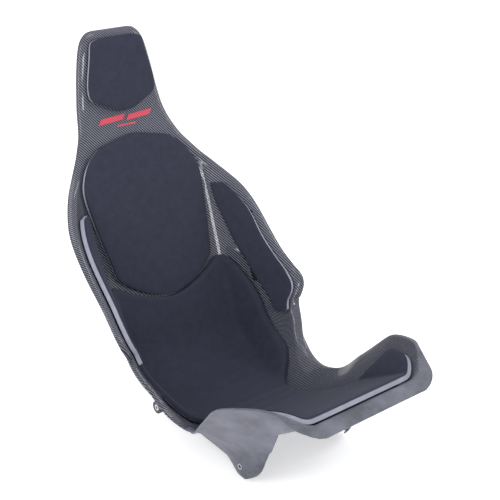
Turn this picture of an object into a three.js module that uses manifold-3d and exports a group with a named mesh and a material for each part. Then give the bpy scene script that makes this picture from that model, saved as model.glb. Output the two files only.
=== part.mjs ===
// Racing bucket seat: one-piece carbon shell with headrest, torso wings, elbow
// cutouts and leg wings, five bonded foam cushions, mounting feet and bosses.
// Units mm, +Z up, the driver faces -Y, X = 0 is the plane of symmetry.
import * as THREE from 'three';
import Module from 'manifold-3d';

const wasm = await Module();
wasm.setup();

// ---------------------------------------------------------------- dimensions
const RECLINE = THREE.MathUtils.degToRad(20); // lean of the flat of the back
const LAMINATE = 4; // shell wall
const FLANGE_RADIUS = 20; // roll of the free edge
const LEG_RADIUS = 8; // it is tight on the leg wings
const LIP_RADIUS = 36; // and wide at the front lip
const FLANGE_TURN = THREE.MathUtils.degToRad(75); // how far the edge rolls over
const KNUCKLE_RADIUS = 40; // floor-to-wing corner

const HEAD_TOP = -264; // along the back, measured from the shoulder line
const HEAD_LEAN = 44; // top of the headrest, forward of the back plane
const NECK = -75; // where the headrest starts to lean
const NECK_DIP = -8;
const BEND_START = 460; // end of the flat back
const BEND_DROP = 201; // hip bend, half axes of a quarter ellipse
const BEND_REACH = 285;
const PAN_LENGTH = 350; // hip bend to front lip
const PAN_RISE = 46; // the pan climbs this much to its lip

const GAP = 0.6; // bond line between touching pieces
const TAPE = 2; // hook-and-loop fixing
const FOAM = 10;
const COVER = 1.8;

const FOOT_X = 148; // outer face of the feet, half width
const FOOT_TIP = 90; // how far a foot hangs below the pan
const FOOT_HOLE_Z = 27; // bolt hole above the tip of the foot
const FOOT_HOLE_OUT = 338; // and its distance forward of the back
const BOLT_HOLE = 8.5;
const BUSH_RADIUS = 6.5;
const BUSH_FLANGE = 13;
const BUSH_PROUD = 0.5; // a side bracket bears on the bush, not on the laminate

const HIP_BOSS_DOWN = 585; // bonded boss on the outside of each hip
const HIP_BOSS_OUT = 150;
const HIP_BOSS_RADIUS = 14;
const HIP_BOSS_X = 200; // its flat face, half width
const INSERT_RADIUS = 7; // threaded insert for an M8 bolt
const INSERT_DEPTH = 15;
const THREAD_RADIUS = 3.4;

// The frame's origin is midway between the two foot bolts.
const FOOT_HOLE_DOWN = BEND_START + BEND_DROP + FOOT_TIP - FOOT_HOLE_Z;
const ORIGIN_Y = FOOT_HOLE_DOWN * Math.sin(RECLINE) + FOOT_HOLE_OUT * Math.cos(RECLINE);
const ORIGIN_Z = FOOT_HOLE_DOWN * Math.cos(RECLINE) - FOOT_HOLE_OUT * Math.sin(RECLINE);

// -------------------------------------------------------------- seat surface
// "along" runs down the spine: the distance down the back to BEND_START, then
// one unit per degree around the hip bend, then the distance along the pan.
const BEND_END = BEND_START + 90;
const LIP = BEND_END + PAN_LENGTH;

// Each row: along, knuckle half width, wing angle (degrees).
const SECTIONS = [
  [HEAD_TOP, 60, 0],
  [NECK, 80, 2],
  [-10, 120, 16],
  [24, 136, 27],
  [58, 152, 34],
  [92, 163, 38],
  [160, 166, 42],
  [250, 166, 51],
  [340, 165, 60],
  [427, 164, 65],
  [BEND_START + 14, 158, 67],
  [BEND_START + 39, 144, 60],
  [BEND_START + 61, 134, 45],
  [BEND_START + 90, 138, 29],
  [BEND_END + 80, 150, 38],
  [BEND_END + 174, 157, 46.5],
  [BEND_END + 275, 148, 46.5],
  [LIP, 142, 46],
];

// Free edge of the shell: along, distance from the middle over the surface.
const EDGE = [
  [HEAD_TOP, 48],
  [HEAD_TOP + 2, 60],
  [HEAD_TOP + 7, 70],
  [HEAD_TOP + 15, 79],
  [HEAD_TOP + 26, 86],
  [HEAD_TOP + 42, 92],
  [-178, 102],
  [-112, 113],
  [-44, 126],
  [-10, 138],
  [24, 156],
  [58, 179],
  [92, 208],
  [125, 235],
  [160, 260],
  [190, 275],
  [221, 286],
  [282, 304],
  [340, 325],
  [380, 346],
  [406, 362],
  [427, 363],
  [444, 355],
  [BEND_START + 14, 328],
  [BEND_START + 27, 302],
  [BEND_START + 39, 271],
  [BEND_START + 50, 249],
  [BEND_START + 61, 231],
  [BEND_START + 76, 219],
  [BEND_END + 10, 222],
  [BEND_END + 40, 234],
  [BEND_END + 80, 250],
  [BEND_END + 130, 270],
  [BEND_END + 160, 280],
  [BEND_END + 178, 281],
  [BEND_END + 200, 276],
  [BEND_END + 245, 258],
  [BEND_END + 275, 241],
  [BEND_END + 296, 220],
  [BEND_END + 322, 184],
  [BEND_END + 336, 165],
  [BEND_END + 344, 150],
  [LIP, 126],
];

function table(rows) {
  const keys = rows.map((row) => row[0]);
  const values = rows.flatMap((row) => row.slice(1));
  const spline = new THREE.CubicInterpolant(keys, values, rows[0].length - 1, []);
  return (at) => spline.evaluate(THREE.MathUtils.clamp(at, keys[0], keys[keys.length - 1]));
}
const sectionAt = table(SECTIONS);
const edgeAt = table(EDGE);

// Seat coordinates (down the back, forward of the back) to the standing frame.
function place(x, down, out) {
  const forward = down * Math.sin(RECLINE) + out * Math.cos(RECLINE);
  const drop = down * Math.cos(RECLINE) - out * Math.sin(RECLINE);
  return new THREE.Vector3(x, ORIGIN_Y - forward, ORIGIN_Z - drop);
}

// Middle line of the shell and the direction in which the wings stand up.
function spine(along) {
  if (along <= 0) {
    const neck = new THREE.Vector2(NECK, NECK_DIP);
    const slope = (HEAD_LEAN - NECK_DIP) / (HEAD_TOP - NECK);
    const blend = 45;
    const past = (along - NECK) / blend;
    // soft corner between the leaning headrest and the back
    const bend = blend * 0.5 * (Math.sqrt(past * past + 1) + past);
    const rise = (-NECK_DIP / -NECK - slope) * bend;
    const level = neck.y + slope * (along - neck.x) + rise;
    const fade = THREE.MathUtils.smoothstep(along, -40, 0);
    return { down: along, out: level * (1 - fade), lean: 0 };
  }
  if (along <= BEND_START) {
    return { down: along, out: 0, lean: 0 };
  }
  if (along <= BEND_END) {
    const turn = THREE.MathUtils.degToRad(along - BEND_START);
    const reach = 1 / Math.hypot(Math.sin(turn) / BEND_DROP, Math.cos(turn) / BEND_REACH);
    const down = BEND_START + reach * Math.sin(turn);
    return { down, out: BEND_REACH - reach * Math.cos(turn), lean: turn };
  }
  const run = (along - BEND_END) / PAN_LENGTH;
  const down = BEND_START + BEND_DROP - PAN_RISE * run ** 1.6;
  return { down, out: BEND_REACH + PAN_LENGTH * run, lean: Math.PI / 2 };
}

// Half section: flat floor, knuckle arc, straight wing.
function section(along, across) {
  const [knuckle, degrees] = sectionAt(along);
  const angle = THREE.MathUtils.degToRad(Math.max(degrees, 0.5));
  const cut = KNUCKLE_RADIUS * Math.tan(angle / 2);
  const flat = knuckle - cut;
  const arc = KNUCKLE_RADIUS * angle;
  const v = Math.abs(across);
  if (v <= flat) {
    return [across, 0];
  }
  const turn = Math.min((v - flat) / KNUCKLE_RADIUS, angle);
  const wall = Math.max(v - flat - arc, 0);
  const x = flat + KNUCKLE_RADIUS * Math.sin(turn) + wall * Math.cos(angle);
  const h = KNUCKLE_RADIUS * (1 - Math.cos(turn)) + wall * Math.sin(angle);
  return [Math.sign(across) * x, h];
}

function bare(along, across) {
  const line = spine(along);
  const [x, h] = section(along, across);
  return place(x, line.down - h * Math.sin(line.lean), line.out + h * Math.cos(line.lean));
}

// Unit normal into the seat, from small steps over a surface function.
function normalOf(surface, along, across) {
  const step = 0.5;
  const a0 = Math.max(along - step, HEAD_TOP);
  const a1 = Math.min(along + step, LIP);
  const limit = edgeAt(along)[0];
  const v0 = Math.max(across - step, -limit);
  const v1 = Math.min(across + step, limit);
  const within = (a) => THREE.MathUtils.clamp(across, -edgeAt(a)[0], edgeAt(a)[0]);
  const downward = surface(a1, within(a1)).sub(surface(a0, within(a0)));
  const sideways = surface(along, v1).sub(surface(along, v0));
  return sideways.cross(downward).normalize().negate();
}

// The free edge as a closed loop of points, used to roll the flange.
function edgeLoop() {
  const side = [];
  const steps = 260;
  for (let i = 0; i <= steps; i += 1) {
    const share = (1 - Math.cos((Math.PI * i) / steps)) / 2; // closer at both ends
    const along = THREE.MathUtils.lerp(HEAD_TOP, LIP, share);
    side.push([along, edgeAt(along)[0]]);
  }
  const right = side.map(([along, v]) => bare(along, v));
  const left = side.map(([along, v]) => bare(along, -v)).reverse();
  return [...right, ...left, right[0].clone()];
}
const LOOP = edgeLoop();

function edgeDistance(point) {
  const segment = new THREE.Line3();
  const near = new THREE.Vector3();
  let best = Infinity;
  for (let i = 0; i + 1 < LOOP.length; i += 1) {
    if (LOOP[i].distanceToSquared(point) < (best + 20) ** 2) {
      segment.set(LOOP[i], LOOP[i + 1]);
      segment.closestPointToPoint(point, true, near);
      best = Math.min(best, near.distanceTo(point));
    }
  }
  return best;
}

// Roll radius of the free edge and how much surface the roll takes up.
function flangeAt(along) {
  const tighten = THREE.MathUtils.smoothstep(along, BEND_START + 60, BEND_END + 5);
  const grow = THREE.MathUtils.smoothstep(along, LIP - 60, LIP - 15);
  const radius = FLANGE_RADIUS + (LEG_RADIUS - FLANGE_RADIUS) * tighten
    + (LIP_RADIUS - LEG_RADIUS) * grow;
  return { radius, reach: radius * Math.sin(FLANGE_TURN) };
}

// Inner face of the shell, with the free edge rolled back into a flange.
function face(along, across) {
  const point = bare(along, across);
  const { radius, reach } = flangeAt(along);
  const inward = edgeDistance(point);
  if (inward >= reach) {
    return point;
  }
  const turn = Math.asin(Math.sin(FLANGE_TURN) - inward / radius);
  const drop = radius * (1 - Math.cos(turn));
  return point.addScaledVector(normalOf(bare, along, across), -drop);
}

// ------------------------------------------------------------ solid building
// A closed slab between two grids of points: near[i][j] on the inner side.
function slab(near, far) {
  const rows = near.length;
  const cols = near[0].length;
  const points = [...near.flat(), ...far.flat()];
  const id = (side, i, j) => side * rows * cols + i * cols + j;
  const index = [];
  const quad = (a, b, c, d) => index.push(a, b, c, a, c, d);
  for (let i = 0; i + 1 < rows; i += 1) {
    for (let j = 0; j + 1 < cols; j += 1) {
      quad(id(0, i, j), id(0, i + 1, j), id(0, i + 1, j + 1), id(0, i, j + 1));
      quad(id(1, i, j), id(1, i, j + 1), id(1, i + 1, j + 1), id(1, i + 1, j));
    }
  }
  for (let i = 0; i + 1 < rows; i += 1) {
    quad(id(0, i, 0), id(1, i, 0), id(1, i + 1, 0), id(0, i + 1, 0));
    quad(id(0, i, cols - 1), id(0, i + 1, cols - 1), id(1, i + 1, cols - 1), id(1, i, cols - 1));
  }
  for (let j = 0; j + 1 < cols; j += 1) {
    quad(id(0, 0, j), id(0, 0, j + 1), id(1, 0, j + 1), id(1, 0, j));
    quad(id(0, rows - 1, j), id(1, rows - 1, j), id(1, rows - 1, j + 1), id(0, rows - 1, j + 1));
  }
  const geometry = new THREE.BufferGeometry();
  geometry.setAttribute('position', new THREE.Float32BufferAttribute(
    points.flatMap((p) => [p.x, p.y, p.z]), 3));
  geometry.setIndex(index);
  return outward(geometry);
}

// Turns a closed geometry so its faces look outward.
function outward(geometry) {
  const p = geometry.getAttribute('position');
  const index = geometry.getIndex().array;
  const [a, b, c] = [new THREE.Vector3(), new THREE.Vector3(), new THREE.Vector3()];
  let volume = 0;
  for (let i = 0; i < index.length; i += 3) {
    a.fromBufferAttribute(p, index[i]);
    b.fromBufferAttribute(p, index[i + 1]);
    c.fromBufferAttribute(p, index[i + 2]);
    volume += a.dot(b.cross(c));
  }
  if (volume < 0) {
    for (let i = 0; i < index.length; i += 3) {
      [index[i + 1], index[i + 2]] = [index[i + 2], index[i + 1]];
    }
  }
  return geometry;
}

function solid(geometry) {
  const position = geometry.getAttribute('position');
  const mesh = new wasm.Mesh({
    numProp: 3,
    vertProperties: new Float32Array(position.array),
    triVerts: new Uint32Array(geometry.getIndex().array),
  });
  return new wasm.Manifold(mesh);
}

// Geometry made by three.js has split corners; join them by position.
function welded(geometry) {
  const flat = geometry.index ? geometry.toNonIndexed() : geometry;
  const position = flat.getAttribute('position');
  const seen = new Map();
  const points = [];
  const index = [];
  for (let i = 0; i < position.count; i += 1) {
    const xyz = [position.getX(i), position.getY(i), position.getZ(i)];
    const key = xyz.map((value) => Math.round(value * 1000)).join();
    if (!seen.has(key)) {
      seen.set(key, seen.size);
      points.push(...xyz);
    }
    index.push(seen.get(key));
  }
  const kept = [];
  for (let i = 0; i < index.length; i += 3) {
    const [a, b, c] = index.slice(i, i + 3);
    if (a !== b && b !== c && c !== a) {
      kept.push(a, b, c);
    }
  }
  const joined = new THREE.BufferGeometry();
  joined.setAttribute('position', new THREE.Float32BufferAttribute(points, 3));
  joined.setIndex(kept);
  return outward(joined);
}

// Largest distance of a solid from the plane of symmetry.
function reachOf(manifold) {
  const box = manifold.boundingBox();
  return Math.max(Math.abs(box.min[0]), Math.abs(box.max[0]));
}

function geometryOf(manifold) {
  const mesh = manifold.getMesh();
  const geometry = new THREE.BufferGeometry();
  geometry.setAttribute('position', new THREE.Float32BufferAttribute(mesh.vertProperties, 3));
  geometry.setIndex([...mesh.triVerts]);
  return geometry;
}

// A cylinder along X between two half widths.
function crossRod(radius, x0, x1, y, z, sides = 32) {
  const rod = new THREE.CylinderGeometry(radius, radius, Math.abs(x1 - x0), sides);
  rod.rotateZ(Math.PI / 2);
  rod.translate((x0 + x1) / 2, y, z);
  return solid(welded(rod));
}

// --------------------------------------------------------------------- shell
// The rolled edge needs fine steps, as shares of the surface it takes up.
const ROLL_STEPS = [0, 0.1, 0.3, 0.62, 1];

function spread(from, to, count) {
  return Array.from({ length: count + 1 }, (_, i) => THREE.MathUtils.lerp(from, to, i / count));
}

function shellRows() {
  const top = ROLL_STEPS.map((share) => HEAD_TOP + share * flangeAt(HEAD_TOP).reach);
  const back = spread(top[4], BEND_START, 22).slice(1);
  const bend = spread(BEND_START, BEND_END, 13).slice(1);
  const lip = ROLL_STEPS.map((share) => LIP - share * flangeAt(LIP).reach).reverse();
  const pan = spread(BEND_END, lip[0], 11).slice(1, -1);
  return [...top, ...back, ...bend, ...pan, ...lip];
}

// Floor, knuckle and wing each get their own columns, out to the rolled edge.
function shellColumns(along) {
  const [knuckle, degrees] = sectionAt(along);
  const angle = THREE.MathUtils.degToRad(degrees);
  const limit = edgeAt(along)[0];
  const roll = limit - flangeAt(along).reach;
  const flat = Math.min(knuckle - KNUCKLE_RADIUS * Math.tan(angle / 2), 0.78 * roll);
  const bend = THREE.MathUtils.clamp(flat + KNUCKLE_RADIUS * angle, 1.08 * flat, 0.95 * roll);
  const floor = spread(0, flat, 3);
  const corner = spread(flat, bend, 4).slice(1);
  const wing = spread(bend, roll, 4).slice(1);
  const outer = ROLL_STEPS.slice(0, 4).map((share) => limit - share * (limit - roll)).reverse();
  const right = [...floor, ...corner, ...wing, ...outer];
  return [...right.slice(1).reverse().map((v) => -v), ...right];
}

function shellSolid(growInner, growOuter) {
  const near = [];
  const far = [];
  for (const along of shellRows()) {
    const nearRow = [];
    const farRow = [];
    for (const across of shellColumns(along)) {
      const normal = normalOf(face, along, across);
      const point = face(along, across);
      nearRow.push(point.clone().addScaledVector(normal, growInner));
      farRow.push(point.addScaledVector(normal, -growOuter));
    }
    near.push(nearRow);
    far.push(farRow);
  }
  return solid(slab(near, far));
}

// ---------------------------------------------------------------------- feet
// A foot is a rounded lobe of laminate that hangs from the side of the pan.
// Each row: share of the drop, middle and half length forward of the back.
const FOOT_LEVELS = [
  [0, 315, 175],
  [0.2, 322, 132],
  [0.34, 328, 108],
  [0.46, 343, 82],
  [0.66, 343, 61],
  [0.8, 341, 50],
  [0.93, 340, 35],
  [1, 345, 17],
];
const footAt = table(FOOT_LEVELS);
const FOOT_ROWS = 12;
const FOOT_COLS = 12;
const FOOT_SPREAD = 1.3;
const FOOT_BULGE = 20;

// How far down the pan floor lies inside its wall, at a half width and reach.
function panUnder(x, out) {
  const along = alongAt(out);
  let low = 0;
  let high = edgeAt(along)[0];
  for (let i = 0; i < 30; i += 1) {
    const middle = (low + high) / 2;
    if (section(along, middle)[0] < x) {
      low = middle;
    } else {
      high = middle;
    }
  }
  const height = section(along, low)[1];
  const line = spine(along);
  return line.down - height * Math.sin(line.lean) + LAMINATE * 0.55;
}

function alongAt(out) {
  let low = BEND_START;
  let high = LIP;
  for (let i = 0; i < 30; i += 1) {
    const middle = (low + high) / 2;
    if (spine(middle).out < out) {
      low = middle;
    } else {
      high = middle;
    }
  }
  return low;
}

function footPoint(side, fall, t, inset) {
  const [middle, half] = footAt(fall);
  const out = middle + half * Math.sin(t * FOOT_SPREAD) / Math.sin(FOOT_SPREAD);
  const arch = (Math.cos(t * FOOT_SPREAD) - Math.cos(FOOT_SPREAD)) / (1 - Math.cos(FOOT_SPREAD));
  const x = FOOT_X - FOOT_BULGE * (1 - arch);
  const tip = BEND_START + BEND_DROP + FOOT_TIP;
  const down = THREE.MathUtils.lerp(panUnder(x, out), tip, fall);
  return place(side * (x - inset), down, out);
}

function footSolid(side, grow) {
  const near = [];
  const far = [];
  for (let i = 0; i <= FOOT_ROWS; i += 1) {
    const fall = i / FOOT_ROWS;
    const turns = spread(-1, 1, FOOT_COLS);
    near.push(turns.map((t) => footPoint(side, fall, t, LAMINATE + grow)));
    far.push(turns.map((t) => footPoint(side, fall, t, -grow)));
  }
  return solid(slab(near, far));
}

// ------------------------------------------------------------------ the parts
const group = new THREE.Group();

function material(color, roughness, metalness = 0) {
  return new THREE.MeshStandardMaterial({ color, roughness, metalness });
}
const CARBON = material(0x24262c, 0.25, 0.1);
const FOAM_GREY = material(0x8d8ea2, 0.95);
const FABRIC = material(0x33354a, 0.9);
const TAPE_BLACK = material(0x15151a, 0.95);
const RED = material(0xb3202f, 0.5);
const GLASS_FILLED = material(0x2b2c31, 0.6);
const STEEL = material(0xb8bcc4, 0.3, 0.9);

function add(name, shape, look) {
  const geometry = shape.isBufferGeometry ? shape : geometryOf(shape);
  const mesh = new THREE.Mesh(geometry, look);
  mesh.name = name;
  group.add(mesh);
}

function insidePoint(along, across, height) {
  return face(along, across).addScaledVector(normalOf(face, along, across), height);
}

// A sheet that follows the seat between two heights above the shell.
function sheet(rows, cols, alongOf, acrossOf, low, high) {
  const layers = [low, high].map((height) => {
    const grid = [];
    for (let i = 0; i <= rows; i += 1) {
      const row = [];
      for (let j = 0; j <= cols; j += 1) {
        const w = (j / cols) * 2 - 1;
        const along = alongOf(i / rows, w);
        row.push(insidePoint(along, acrossOf(along, w), height));
      }
      grid.push(row);
    }
    return grid;
  });
  return slab(layers[1], layers[0]);
}

const FOAM_LOW = GAP + TAPE + GAP;
const COVER_LOW = FOAM_LOW + FOAM + GAP;

function cushion(name, rows, cols, alongOf, acrossOf) {
  const foam = sheet(rows, cols, alongOf, acrossOf, FOAM_LOW, FOAM_LOW + FOAM);
  const cover = sheet(rows, cols, alongOf, acrossOf, COVER_LOW, COVER_LOW + COVER);
  add(`${name}_foam`, foam, FOAM_GREY);
  add(`${name}_cover`, cover, FABRIC);
}

function strip(name, along0, along1, across0, across1, low = GAP, high = GAP + TAPE, look = TAPE_BLACK) {
  const alongOf = (u) => THREE.MathUtils.lerp(along0, along1, u);
  const acrossOf = (along, w) => THREE.MathUtils.lerp(across0, across1, (w + 1) / 2);
  add(name, sheet(6, 6, alongOf, acrossOf, low, high), look);
}

// Headrest cushion: a hexagon with a flat foot.
const headHalf = table([
  [HEAD_TOP, 62],
  [-246, 67],
  [-208, 75],
  [-130, 90],
  [-110, 87],
]);
cushion('head_cushion', 12, 10, (u, w) => {
  const top = -247 + 7 * Math.abs(w) ** 6;
  const bottom = -78 - 34 * Math.max((Math.abs(w) - 0.22) / 0.78, 0);
  return THREE.MathUtils.lerp(top, bottom, u);
}, (along, w) => w * headHalf(along)[0]);

// Back cushion: a shallow roof, widest below the shoulders, rounded V foot.
const backHalf = table([
  [-22, 92],
  [0, 100],
  [30, 134],
  [68, 160],
  [92, 166],
  [160, 159],
  [216, 149],
  [308, 134],
  [372, 128],
]);
cushion('back_cushion', 20, 12, (u, w) => {
  const top = -21 + 21 * Math.abs(w) ** 1.3;
  const bottom = 372 - 64 * w * w;
  return THREE.MathUtils.lerp(top, bottom, u);
}, (along, w) => w * backHalf(along)[0]);

// Seat cushion: lower back, pan and both leg wings in one piece. It narrows at
// the hips and spreads again onto the leg wings.
const seatHalf = table([
  [312, 176],
  [324, 187],
  [344, 200],
  [370, 216],
  [400, 231],
  [452, 250],
  [470, 252],
  [484, 244],
  [496, 231],
  [504, 214],
  [510, 192],
  [516, 152],
  [524, 120],
  [534, 108],
  [550, 104],
  [600, 102],
  [650, 103],
  [664, 113],
  [674, 143],
  [688, 173],
  [706, 193],
  [730, 212],
  [750, 227],
  [762, 231],
  [778, 225],
  [800, 215],
  [822, 204],
  [840, 190],
  [852, 174],
  [862, 150],
  [868, 120],
]);
const SEAT_ROWS = [
  384, 412, 440, 462, 478, 492, 502, 510, 517, 526, 540, 562, 600, 640, 658, 667, 675, 686, 702,
  726, 748, 762, 780, 806, 834, 850, 860, 868,
];
cushion('seat_cushion', SEAT_ROWS.length + 2, 12, (u, w) => {
  const row = Math.round(u * (SEAT_ROWS.length + 2));
  const rounded = 9 * Math.max((Math.abs(w) - 0.85) / 0.15, 0) ** 2;
  const top = 381 - 64 * Math.min(Math.abs(w) / 0.82, 1) ** 1.35 + rounded;
  return row < 3 ? THREE.MathUtils.lerp(top, SEAT_ROWS[0], row / 3) : SEAT_ROWS[row - 3];
}, (along, w) => w * seatHalf(along)[0]);

// Side cushions on the torso wings.
const wingInner = table([
  [130, 187],
  [184, 189],
  [240, 201],
  [304, 217],
  [364, 241],
  [430, 268],
  [474, 287],
]);
const wingOuter = table([
  [130, 208],
  [176, 240],
  [232, 268],
  [292, 285],
  [352, 311],
  [400, 336],
  [425, 343],
  [440, 339],
  [456, 328],
  [474, 311],
]);
for (const [label, side] of [['left', 1], ['right', -1]]) {
  cushion(`${label}_side_cushion`, 16, 4, (u, w) => {
    return THREE.MathUtils.lerp(144 + 4 * w, 470, u);
  }, (along, w) => {
    return side * THREE.MathUtils.lerp(wingInner(along)[0], wingOuter(along)[0], (w + 1) / 2);
  });
  strip(`${label}_side_tape`, 230, 400, side * 236, side * 272);
  strip(`head_tape_${label}`, -225, -120, side * 20, side * 50);
}
strip('back_tape_upper', 60, 110, -110, 110);
strip('back_tape_lower', 240, 290, -90, 90);
strip('seat_tape_rear', 400, 440, -110, 110);
strip('seat_tape_front', 700, 740, -90, 90);

// Painted emblem between the head and back cushions: two swept stripes, a bar.
for (const [label, side] of [['left', 1], ['right', -1]]) {
  const stripe = sheet(4, 8, (u, w) => -68 + 13 * u - 2 * w * side, (along, w) => {
    return side * (38 + 32 * w) - (along + 60) * 0.8;
  }, GAP, GAP + 0.6);
  add(`emblem_stripe_${label}`, stripe, RED);
}
strip('emblem_bar', -46, -42, -26, 26, GAP, GAP + 0.6, RED);

// Feet, their steel bushes, and the bonded bosses at the hips.
let body = shellSolid(0, LAMINATE);
let clearance = shellSolid(GAP, LAMINATE + GAP);
const hole = place(0, FOOT_HOLE_DOWN, FOOT_HOLE_OUT);
const boss = place(0, HIP_BOSS_DOWN, HIP_BOSS_OUT);
for (const side of [-1, 1]) {
  body = body.add(footSolid(side, 0));
  clearance = clearance.add(footSolid(side, GAP));
}
for (const [label, side] of [['left', 1], ['right', -1]]) {
  const rod = (radius, x0, x1, at) => crossRod(radius, side * x0, side * x1, at.y, at.z);
  body = body.subtract(rod(BUSH_RADIUS + GAP, 100, 180, hole));
  const bush = rod(BUSH_FLANGE, FOOT_X - 22, FOOT_X - 3, hole)
    .subtract(clearance)
    .add(rod(BUSH_RADIUS, FOOT_X - 20, FOOT_X + BUSH_PROUD, hole))
    .subtract(rod(BOLT_HOLE / 2, 100, 180, hole));
  add(`foot_bush_${label}`, bush, STEEL);

  const solidBoss = rod(HIP_BOSS_RADIUS, 150, HIP_BOSS_X, boss).subtract(clearance);
  const outer = solidBoss.decompose().sort((a, b) => reachOf(b) - reachOf(a))[0];
  const socket = rod(INSERT_RADIUS + GAP, HIP_BOSS_X - INSERT_DEPTH, HIP_BOSS_X + 1, boss);
  add(`hip_boss_${label}`, outer.subtract(socket), GLASS_FILLED);
  const insert = rod(INSERT_RADIUS, HIP_BOSS_X - INSERT_DEPTH + GAP, HIP_BOSS_X, boss)
    .subtract(rod(THREAD_RADIUS, HIP_BOSS_X - INSERT_DEPTH + 3, HIP_BOSS_X + 1, boss));
  add(`hip_insert_${label}`, insert, STEEL);
}
add('shell', body, CARBON);

export default group;
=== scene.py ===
# Racing bucket seat: carbon shell, five cushions on fixing strips, mounting hardware.
# Surfaces are worked out in millimetres and turned into metres when meshed.
import math

import bmesh
import bpy
import numpy as np
from mathutils import Matrix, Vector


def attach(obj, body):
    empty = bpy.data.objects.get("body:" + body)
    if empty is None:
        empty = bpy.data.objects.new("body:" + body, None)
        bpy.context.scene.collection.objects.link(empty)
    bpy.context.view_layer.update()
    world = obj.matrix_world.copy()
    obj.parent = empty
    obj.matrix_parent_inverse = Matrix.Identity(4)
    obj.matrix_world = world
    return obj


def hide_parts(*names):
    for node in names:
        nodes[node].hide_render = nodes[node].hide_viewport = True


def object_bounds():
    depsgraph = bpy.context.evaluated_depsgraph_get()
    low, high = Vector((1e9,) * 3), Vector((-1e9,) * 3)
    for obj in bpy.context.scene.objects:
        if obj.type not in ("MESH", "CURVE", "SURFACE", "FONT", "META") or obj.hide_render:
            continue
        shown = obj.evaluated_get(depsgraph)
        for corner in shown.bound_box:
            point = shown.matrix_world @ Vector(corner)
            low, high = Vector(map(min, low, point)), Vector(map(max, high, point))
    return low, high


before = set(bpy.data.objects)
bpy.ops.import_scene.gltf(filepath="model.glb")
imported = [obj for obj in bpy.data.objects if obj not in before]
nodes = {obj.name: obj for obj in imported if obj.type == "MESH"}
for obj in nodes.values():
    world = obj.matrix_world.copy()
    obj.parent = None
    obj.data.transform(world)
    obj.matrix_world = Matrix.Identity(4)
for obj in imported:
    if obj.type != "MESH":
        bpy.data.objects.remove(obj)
cad_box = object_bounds()

# ---------------------------------------------------------------- dimensions
MM = 0.001  # metres in a millimetre
RECLINE = math.radians(20)
LAMINATE = 4.0
FLANGE_RADIUS, LEG_RADIUS, LIP_RADIUS = 20.0, 8.0, 36.0
FLANGE_TURN = math.radians(75)
KNUCKLE_RADIUS = 40.0
HEAD_TOP, HEAD_LEAN = -264.0, 44.0
NECK, NECK_DIP = -75.0, -8.0
BEND_START, BEND_DROP, BEND_REACH = 460.0, 201.0, 285.0
PAN_LENGTH, PAN_RISE = 350.0, 46.0
GAP, TAPE, FOAM, COVER = 0.6, 2.0, 10.0, 1.8
FOOT_X, FOOT_TIP = 148.0, 90.0
FOOT_HOLE_Z, FOOT_HOLE_OUT = 27.0, 338.0
BOLT_SLEEVE = 6.5
BEND_END = BEND_START + 90
LIP = BEND_END + PAN_LENGTH
FOOT_HOLE_DOWN = BEND_START + BEND_DROP + FOOT_TIP - FOOT_HOLE_Z
ORIGIN_Y = FOOT_HOLE_DOWN * math.sin(RECLINE) + FOOT_HOLE_OUT * math.cos(RECLINE)
ORIGIN_Z = FOOT_HOLE_DOWN * math.cos(RECLINE) - FOOT_HOLE_OUT * math.sin(RECLINE)

# along, knuckle half width, wing angle in degrees
SECTIONS = [
    (HEAD_TOP, 60, 0), (NECK, 80, 2), (-10, 120, 16), (24, 136, 27), (58, 152, 34),
    (92, 163, 38), (160, 166, 42), (250, 166, 51), (340, 165, 60), (427, 164, 65),
    (BEND_START + 14, 158, 67), (BEND_START + 39, 144, 60), (BEND_START + 61, 134, 45),
    (BEND_START + 90, 138, 29), (BEND_END + 80, 150, 38), (BEND_END + 174, 157, 46.5),
    (BEND_END + 275, 148, 46.5), (LIP, 142, 46),
]
# along, free edge's distance from the middle over the surface
EDGE = [
    (HEAD_TOP, 48), (HEAD_TOP + 2, 60), (HEAD_TOP + 7, 70), (HEAD_TOP + 15, 79),
    (HEAD_TOP + 26, 86), (HEAD_TOP + 42, 92), (-178, 102), (-112, 113), (-44, 126),
    (-10, 138), (24, 156), (58, 179), (92, 208), (125, 235), (160, 260), (190, 275),
    (221, 286), (282, 304), (340, 325), (380, 346),
    (406, 362), (427, 363), (444, 355), (BEND_START + 14, 328), (BEND_START + 27, 302),
    (BEND_START + 39, 271), (BEND_START + 50, 249), (BEND_START + 61, 231),
    (BEND_START + 76, 219), (BEND_END + 10, 222), (BEND_END + 40, 234),
    (BEND_END + 80, 250), (BEND_END + 130, 270), (BEND_END + 160, 280),
    (BEND_END + 178, 281), (BEND_END + 200, 276), (BEND_END + 245, 258),
    (BEND_END + 275, 241), (BEND_END + 296, 220), (BEND_END + 322, 184),
    (BEND_END + 336, 165), (BEND_END + 344, 150), (LIP, 126),
]


def lerp(a, b, share):
    return a + (b - a) * share


def smoothstep(x, low, high):
    t = np.clip((x - low) / (high - low), 0, 1)
    return t * t * (3 - 2 * t)


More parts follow.
